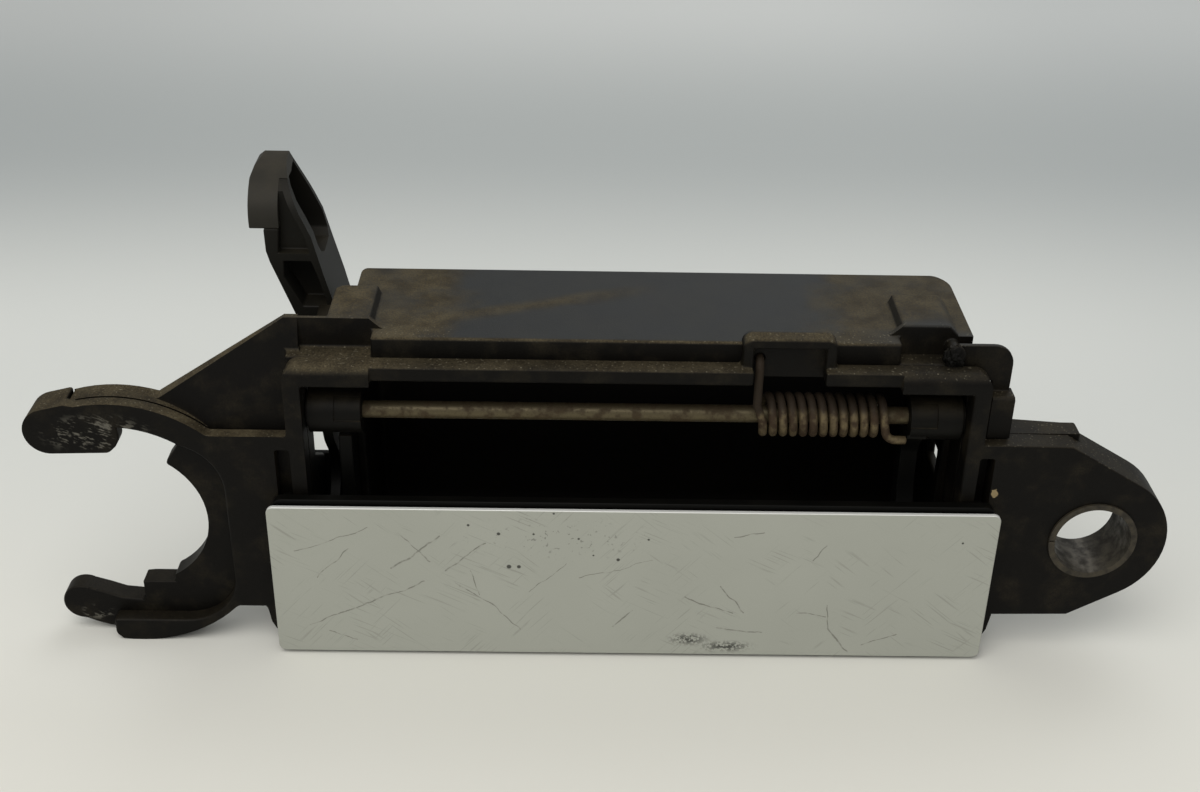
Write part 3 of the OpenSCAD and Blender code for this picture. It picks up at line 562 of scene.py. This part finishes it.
def scratches(shade):
    here = wavering_place(shade)
    strokes = shade.largest(*[shade.stroke(here, *scratch) for scratch in SCRATCHES])
    fading = shade.remap(shade.noise(1.6), 0.30, 0.60, to_low=0.10, to_high=0.62)
    hairs = [hairlines(shade, turn, 0.24) for turn in HAIRLINE_TURNS]
    return shade.largest(shade.times(strokes, fading), *hairs)


def black_marks(shade):
    """Specks, a crumbly smudge by the lower edge and a peppering where the paint is worn."""
    specks = [shade.spot((x, 0.0, z), (radius, 3.0, radius), soft=0.4) for x, z, radius in SPECKS]
    smudge = shade.largest(*[shade.spot(middle, reach, soft=0.9) for middle, reach in SMUDGES])
    crumbs = shade.remap(shade.noise(0.55, detail=2.0, roughness=0.6), 0.40, 0.58)
    pepper = shade.remap(shade.noise(0.8, detail=2.0), 0.63, 0.70, to_high=0.5)
    worn = shade.spot(*WORN_PATCH, soft=0.9)
    return shade.largest(*specks, shade.times(smudge, crumbs), shade.times(worn, pepper))


def silver_material():
    """Silver paint, dulled, with crossing scratches and black marks; a painted highlight makes its upper edge
    paler.
    """
    shade = Shader("silver_paint")
    flake = shade.noise(0.22, detail=2.0)
    haze = shade.noise(26.0)
    colour = shade.mix(haze, srgb(162, 164, 155), srgb(173, 175, 166))
    colour = shade.mix(shade.remap(flake, 0.45, 0.65, to_high=0.10), colour, srgb(190, 190, 186))
    colour = shade.mix(scratches(shade), colour, srgb(84, 82, 74))
    colour = shade.mix(shade.times(black_marks(shade), 0.85), colour, srgb(24, 23, 21))
    # Painted highlight: what faces up, the flap's top edge, is paler
    colour = shade.mix(shade.facing_up(0.4, 0.8), colour, srgb(226, 227, 223))
    shade.bump(flake, strength=0.06, depth_mm=0.02)
    return shade.set(colour=colour, metallic=0.3, roughness=shade.blend(haze, 0.40, 0.50), specular=0.35)


# ---------------------------------------------------------------- metal and foam

def rusty_material(name, clean, rust_dark, rust_light, rusted, rust_and_shade_from):
    """Plated steel gone brown, with what is left of the plating below the height rust_and_shade_from; above
    it, all rust, darkened by painted shade.
    """
    shade = Shader(name)
    z = shade.axes()[2]
    patch = shade.noise(2.6, detail=5.0, roughness=0.6)
    pits = shade.noise(0.45, roughness=0.6)
    rust_and_painted_shade = shade.remap(z, rust_and_shade_from, rust_and_shade_from + 2.0)
    rust = shade.largest(
        shade.above(patch, rusted, 0.1),
        shade.remap(pits, 0.5, 0.72, to_high=0.7),
        rust_and_painted_shade,
    )
    colour = shade.mix(rust, clean, shade.mix(pits, rust_dark, rust_light))
    # Painted shade darkens the metal above that height
    colour = shade.mix(shade.times(rust_and_painted_shade, 0.6), colour, srgb(24, 19, 12))
    shade.bump(pits, strength=0.4, depth_mm=0.1)
    metallic = shade.blend(rust, 0.6, 0.05)
    return shade.set(colour=colour, metallic=metallic, roughness=shade.blend(rust, 0.36, 0.75), specular=0.25)


def bush_material():
    """Tan plated steel bush, worn bright here and there."""
    shade = Shader("bush_steel")
    dirt = shade.remap(shade.noise(2.4, detail=5.0, roughness=0.6), 0.30, 0.70)
    colour = shade.mix(dirt, srgb(66, 60, 48), srgb(34, 30, 22))
    shade.bump(shade.noise(0.4), strength=0.3, depth_mm=0.08)
    metallic = shade.blend(dirt, 0.45, 0.15)
    return shade.set(colour=colour, metallic=metallic, roughness=shade.blend(dirt, 0.34, 0.75), specular=0.4)


def zinc_material():
    """Dull zinc on the screws and nuts."""
    shade = Shader("dull_zinc")
    patch = shade.noise(1.2, detail=4.0, roughness=0.6)
    colour = shade.mix(shade.remap(patch, 0.4, 0.7), srgb(150, 148, 138), srgb(96, 90, 74))
    shade.bump(shade.noise(0.3), strength=0.25, depth_mm=0.06)
    return shade.set(colour=colour, metallic=0.75, roughness=shade.blend(patch, 0.35, 0.62))


def foam_material():
    """Dark closed-cell foam and felt."""
    shade = Shader("dark_foam")
    cells = shade.noise(0.45, roughness=0.7)
    colour = shade.mix(cells, srgb(12, 12, 11), srgb(34, 33, 30))
    shade.bump(cells, strength=0.7, depth_mm=0.2)
    return shade.set(colour=colour, roughness=0.95, specular=0.1)


# ---------------------------------------------------------------- softened edges

# Edges that turn more than this are softened
SHARP = math.radians(34)
# Points closer than this are one point, and faces that turn less than this are one face
SAME_POINT = 0.002 * MM
SAME_FACE = math.radians(0.6)
# Two edges run on into each other when they leave their common point this nearly opposite
RUNS_ON = -0.75
# Part of the free width that an edge's softening may take; at a half, two that face would meet
WIDTH_SHARE = 0.4


def is_sharp(edge):
    return len(edge.link_faces) == 2 and edge.calc_face_angle() > SHARP


def ends(edge):
    """The numbers of an edge's two points, the lower one first."""
    return tuple(sorted(vertex.index for vertex in edge.verts))


def widths_by_length(sharp, lengths, along, normal):
    """The free width that each side's own length gives it and its two neighbours.

    A side that moves in gets shorter at each end where its neighbour moves in too, and at half
    of this width it is used up.
    """
    least_pinch = 0.001
    before = np.roll(along, 1, axis=0)
    turns = np.arctan2(np.cross(before, along) @ normal, (before * along).sum(axis=1))
    at_start = np.tan(turns / 2) * np.roll(sharp, 1)
    at_end = np.tan(np.roll(turns, -1) / 2) * np.roll(sharp, -1)
    room = 2.0 * lengths / np.maximum(at_start + at_end, least_pinch)
    return np.minimum(room, np.minimum(np.roll(room, 1), np.roll(room, -1)))


def side_widths(face):
    """For each side of a face, the free width in from it: the face folds over at half of it.

    It comes from the lengths of the sides, and from how near other sides run back across the face.
    """
    tried_shares = (0.04, 0.5, 0.96)
    runs_back = -0.2
    square_enough = 0.3
    touching = 0.001 * MM
    sharp = np.array([is_sharp(loop.edge) for loop in face.loops], dtype=float)
    starts = np.array([loop.vert.co for loop in face.loops])
    runs = np.roll(starts, -1, axis=0) - starts
    lengths = np.linalg.norm(runs, axis=1)
    along = runs / lengths[:, None]
    normal = np.array(face.normal)
    widths = widths_by_length(sharp, lengths, along, normal)
    inward = np.cross(normal, along)
    for side in range(len(starts)):
        back = along @ along[side] < runs_back
        for share in tried_shares:
            point = starts[side] + runs[side] * share
            reach = np.clip(((point - starts) * along).sum(axis=1), 0.0, lengths)
            gaps = starts + along * reach[:, None] - point
            distances = np.linalg.norm(gaps, axis=1)
            across = (gaps @ inward[side] > square_enough * distances) & (distances > touching)
            for other in np.flatnonzero(back & across):
                widths[side] = min(widths[side], distances[other])
                widths[other] = min(widths[other], distances[other])
    return widths


def edges_that_run_on(work):
    """For each edge, the sharp edges that carry it on smoothly at its two ends."""
    run_on = {edge: [] for edge in work.edges}
    for vertex in work.verts:
        sharp = [(edge, (edge.other_vert(vertex).co - vertex.co).normalized())
                 for edge in vertex.link_edges if is_sharp(edge)]
        for edge, away in sharp:
            run_on[edge] += [other for other, there in sharp if away.dot(there) < RUNS_ON]
    return run_on


def whole_run(edge, run_on):
    """The edge and every edge that it runs on into, one after the other."""
    found = {edge}
    waiting = [edge]
    while waiting:
        for other in run_on[waiting.pop()]:
            if other not in found:
                found.add(other)
                waiting.append(other)
    return found


def corner_shares(work, edge_mm):
    """How much of the full rounding each edge takes: none where flat, less beside a narrow face.

    Edges that run on smoothly into each other share one value, so that their rounding does too.
    """
    room = {}
    for face in work.faces:
        for loop, width in zip(face.loops, side_widths(face)):
            room[loop.edge] = min(width, room.get(loop.edge, 1.0))
    run_on = edges_that_run_on(work)
    shares = {}
    for edge in work.edges:
        if ends(edge) in shares:
            continue
        run = whole_run(edge, run_on)
        share = min(1.0, WIDTH_SHARE * min(room[member] for member in run) / (edge_mm * MM))
        for member in run:
            shares[ends(member)] = share if is_sharp(member) else 0.0
    return shares


def rounded_copy(node, name, edge_mm):
    """A copy of a CAD node's mesh with its corners softened, standing for that node."""
    work = bmesh.new()
    work.from_mesh(frame["nodes"][node].data)
    bmesh.ops.remove_doubles(work, verts=work.verts, dist=SAME_POINT)
    bmesh.ops.dissolve_limit(work, angle_limit=SAME_FACE, verts=work.verts, edges=work.edges)
    for sequence in (work.verts, work.edges, work.faces):
        sequence.index_update()
    points = [vertex.co.copy() for vertex in work.verts]
    faces = [[vertex.index for vertex in face.verts] for face in work.faces]
    shares = corner_shares(work, edge_mm)
    work.free()
    piece = new_object(name, points, faces)
    weights = piece.data.attributes.new("bevel_weight_edge", "FLOAT", "EDGE")
    for edge in piece.data.edges:
        weights.data[edge.index].value = shares[tuple(sorted(edge.vertices))]
    bevel = piece.modifiers.new("soft_edges", "BEVEL")
    bevel.width = edge_mm * MM
    bevel.segments = 3
    bevel.limit_method = "WEIGHT"
    bevel.use_clamp_overlap = False
    bevel.loop_slide = False
    normals = piece.modifiers.new("flat_faces_stay_flat", "WEIGHTED_NORMAL")
    normals.weight = 100
    return piece


# ---------------------------------------------------------------- pieces

def new_object(name, points, faces):
    mesh = bpy.data.meshes.new(name)
    mesh.from_pydata(points, [], faces)
    mesh.shade_smooth()
    return link_object(name, mesh)


def object_from(work, name):
    """A new object from bmesh geometry, which is used up."""
    mesh = bpy.data.meshes.new(name)
    work.to_mesh(mesh)
    work.free()
    return link_object(name, mesh)


def add_piece(piece, body, slot, material, *nodes):
    """Gives a new piece its material, its body and the CAD nodes that it stands for; slot is not used."""
    piece.data.materials.append(material)
    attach(piece, body)
    if nodes:
        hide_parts(*nodes)


def stand_in(node, body, slot, material, edge_mm):
    """Puts a copy with softened edges in the place of a CAD node."""
    add_piece(rounded_copy(node, node + "_finished", edge_mm), body, slot, material, node)


def paint_node(node, material):
    """Gives a CAD node, which stays as it is, a material."""
    item = frame["nodes"][node]
    for index in range(max(1, len(item.material_slots))):
        item.material_slots[index].material = material


# The return spring: its wire, its turns round the rod, and its two legs, in millimetres
WIRE_RADIUS = 0.85
WIRE_SIDES = 14
TURN_RADIUS = 3.65
TURNS = 12
STEPS_A_TURN = 40
FIRST_TURN_X = 24.95
LAST_TURN_X = 48.95
UPPER_LEG_X = 23.55
UPPER_LEG_TOP = 65.8
UPPER_LEG_BEND = 1.8
UPPER_LEG_HOOK = 3.4
LOWER_LEG_Z = 48.6
LOWER_LEG_BEND = 2.2
LOWER_LEG_END = 53.4
BEND_STEPS = 8


def spring_turns():
    """Middle line of the turns, which start and end in front of the rod."""
    steps = TURNS * STEPS_A_TURN
    turns = []
    for i in range(steps + 1):
        angle = math.pi + 2 * math.pi * i / STEPS_A_TURN
        x = FIRST_TURN_X + (LAST_TURN_X - FIRST_TURN_X) * i / steps
        turns.append((x, HINGE.y + TURN_RADIUS * math.cos(angle), HINGE.z + TURN_RADIUS * math.sin(angle)))
    return turns


def spring_path():
    """Middle line of the return spring's wire: upper leg, turns round the rod, lower leg."""
    leg_y = HINGE.y - TURN_RADIUS
    angles = [math.pi / 2 * i / BEND_STEPS for i in range(BEND_STEPS + 1)]
    bend_z = UPPER_LEG_TOP - UPPER_LEG_BEND
    straight_to_z = HINGE.z + 4.0
    lean_x, lean_z = UPPER_LEG_X + 0.8, HINGE.z + 1.8
    drop_x = LAST_TURN_X + 0.3
    path = [(UPPER_LEG_X, leg_y + UPPER_LEG_HOOK, UPPER_LEG_TOP)]
    for angle in reversed(angles):
        y = leg_y + UPPER_LEG_BEND * (1 - math.cos(angle))
        path.append((UPPER_LEG_X, y, bend_z + UPPER_LEG_BEND * math.sin(angle)))
    path.append((UPPER_LEG_X, leg_y, straight_to_z))
    path.append((lean_x, leg_y, lean_z))
    path += spring_turns()
    for angle in angles:
        x = drop_x + LOWER_LEG_BEND * (1 - math.cos(angle))
        path.append((x, leg_y, LOWER_LEG_Z + LOWER_LEG_BEND * (1 - math.sin(angle))))
    path.append((LOWER_LEG_END, leg_y, LOWER_LEG_Z))
    return [place(*point) for point in path]


def wire_rings(path, radius):
    """Points in a ring round each point of the path, the rings turning as little as they can."""
    points = []
    side = Vector((1, 0, 0))
    for i, middle in enumerate(path):
        ahead = (path[min(i + 1, len(path) - 1)] - path[max(i - 1, 0)]).normalized()
        side = (side - side.dot(ahead) * ahead).normalized()
        across = ahead.cross(side)
        for k in range(WIRE_SIDES):
            turn = 2 * math.pi * k / WIRE_SIDES
            points.append(middle + radius * (side * math.cos(turn) + across * math.sin(turn)))
    return points


def spring_wire():
    """The return spring as round wire, with its ends closed by low cones."""
    path = spring_path()
    radius = WIRE_RADIUS * MM
    tip = radius * 0.4
    last = len(path) - 1
    points = wire_rings(path, radius)
    pairs = [(k, (k + 1) % WIRE_SIDES) for k in range(WIRE_SIDES)]
    faces = []
    for ring in range(last):
        here = ring * WIRE_SIDES
        beyond = here + WIRE_SIDES
        faces += [(here + k, here + j, beyond + j, beyond + k) for k, j in pairs]
    points.append(path[0] + (path[0] - path[1]).normalized() * tip)
    faces += [(j, k, len(points) - 1) for k, j in pairs]
    points.append(path[-1] + (path[-1] - path[-2]).normalized() * tip)
    end = last * WIRE_SIDES
    faces += [(end + k, end + j, len(points) - 1) for k, j in pairs]
    return new_object("return_spring_wire", points, faces)


def add_block(work, low, high):
    """A box between two corners in millimetres."""
    size = Vector(high) - Vector(low)
    for vertex in bmesh.ops.create_cube(work, size=1.0)["verts"]:
        share = vertex.co + Vector((0.5, 0.5, 0.5))
        vertex.co = place(*[low[axis] + share[axis] * size[axis] for axis in range(3)])


def dark_shade_blocks():
    """Dark blocks of painted shade: a wall, sill, cheek and block behind the left opening, which keep the
    daylight out of it.
    """
    left, right = -69.2, -56.4
    front, back = 12.5, 28.4
    bottom, top = 8.0, 31.7
    wall = 1.5
    inner_back = back - wall
    sill_top = bottom + wall
    cheek_top = bottom + 9.0
    block_left, block_front, block_back, block_top = -59.1, 9.2, 16.0, 46.8
    work = bmesh.new()
    add_block(work, (left, inner_back, bottom), (right, back, top))
    add_block(work, (left, front, bottom), (right, inner_back, sill_top))
    add_block(work, (left, front, sill_top), (left + wall, inner_back, cheek_top))
    add_block(work, (block_left, block_front, sill_top), (right, block_back, block_top))
    piece = object_from(work, "dark_shade_blocks")
    bevel = piece.modifiers.new("soft_edges", "BEVEL")
    bevel.width = 0.3 * MM
    bevel.segments = 2
    return piece


def lumpy_share(out):
    """How far the melted head goes in one direction, as a share of its reach; dented in front."""
    large_lumps = 0.42 * noise.noise(out * 1.7 + Vector((3.0, 1.0, 7.0)))
    small_lumps = 0.16 * noise.noise(out * 4.6)
    if out.y >= 0:
        return 1.0 + large_lumps + small_lumps
    dent_x, dent_z, dent_depth, dent_spread = -0.25, -0.1, 0.38, 0.16
    off_dent = (out.x - dent_x) ** 2 + (out.z - dent_z) ** 2
    return 1.0 + large_lumps + small_lumps - dent_depth * math.exp(-off_dent / dent_spread)


def melted_stake():
    """The lumpy head left where the retainer's peg was melted over."""
    work = bmesh.new()
    bmesh.ops.create_icosphere(work, subdivisions=5, radius=1.0)
    for vertex in work.verts:
        out = vertex.co.normalized()
        vertex.co = place(*(STAKE_MIDDLE + STAKE_REACH * out * lumpy_share(out)))
    piece = object_from(work, "melted_stake")
    piece.data.shade_smooth()
    return piece


# ---------------------------------------------------------------- putting it together

def dress_housing(dark):
    """The two mouldings and the rod's retainer, the melted peg's head that the solids leave out beside them,
    and dark blocks of painted shade behind the left opening.
    """
    moulding = moulding_material()
    stand_in("front_frame", "housing", "moulding", moulding, edge_mm=0.7)
    stand_in("rear_housing", "housing", "moulding", moulding, edge_mm=0.6)
    stand_in("rod_retainer", "housing", "moulding", moulding, edge_mm=0.3)
    add_piece(melted_stake(), "housing", "moulding", moulding)
    add_piece(dark_shade_blocks(), "housing", "moulding", dark)


def dress_flap(dark):
    """The flap's plate and carrier, and the latch lever that turns with them."""
    lever = plastic_material("lever_plastic", srgb(19, 18, 15), srgb(27, 26, 22), dusty=0.18)
    pad = plastic_material("lever_pad_plastic", srgb(36, 35, 31), srgb(48, 46, 41), dusty=0.2)
    stand_in("flap_carrier", "flap", "carrier_plastic", dark, edge_mm=0.25)
    stand_in("latch_lever", "flap", "carrier_plastic", lever, edge_mm=0.35)
    stand_in("lever_tip", "flap", "carrier_plastic", pad, edge_mm=0.35)
    for node in ("barrel_bush_left", "barrel_bush_right"):
        paint_node(node, dark)
    stand_in("flap_skin", "flap", "silver_paint", silver_material(), edge_mm=0.22)


def dress_hardware():
    """The rod, the spring, the bush, the screws and nuts, and the foam pads."""
    rod = rusty_material(
        "rusty_rod", clean=srgb(88, 80, 60), rust_dark=srgb(42, 33, 20), rust_light=srgb(74, 62, 42),
        rusted=0.50, rust_and_shade_from=52.8,
    )
    spring = rusty_material(
        "rusty_spring", clean=srgb(104, 92, 68), rust_dark=srgb(37, 28, 17), rust_light=srgb(60, 45, 29),
        rusted=0.48, rust_and_shade_from=53.6,
    )
    zinc = zinc_material()
    foam = foam_material()
    paint_node("hinge_rod", rod)
    add_piece(spring_wire(), "housing", "rusty_steel", spring, "return_spring")
    paint_node("bolt_bush", bush_material())
    for node in ("lever_screw", "frame_screws", "skin_nuts"):
        paint_node(node, zinc)
    for node in ("skin_pad", "rattle_pads"):
        paint_node(node, foam)


def dress_handle():
    dark = plastic_material("dark_plastic", srgb(7, 6, 4), srgb(11, 10, 7), dusty=0.3)
    dress_housing(dark)
    dress_flap(dark)
    dress_hardware()


bpy.context.scene.view_settings.view_transform = "Standard"
make_camera()
make_world(colour=(0.98, 0.98, 0.97, 1.0), strength=0.55)
make_room()
make_light("key", location=(-0.35, -0.55, 1.0), size=0.9, power=8.0, colour=(1.0, 0.98, 0.95))
make_light("back", location=(0.2, 0.7, 0.8), size=0.8, power=3.0, colour=(0.95, 0.97, 1.0))
dress_handle()
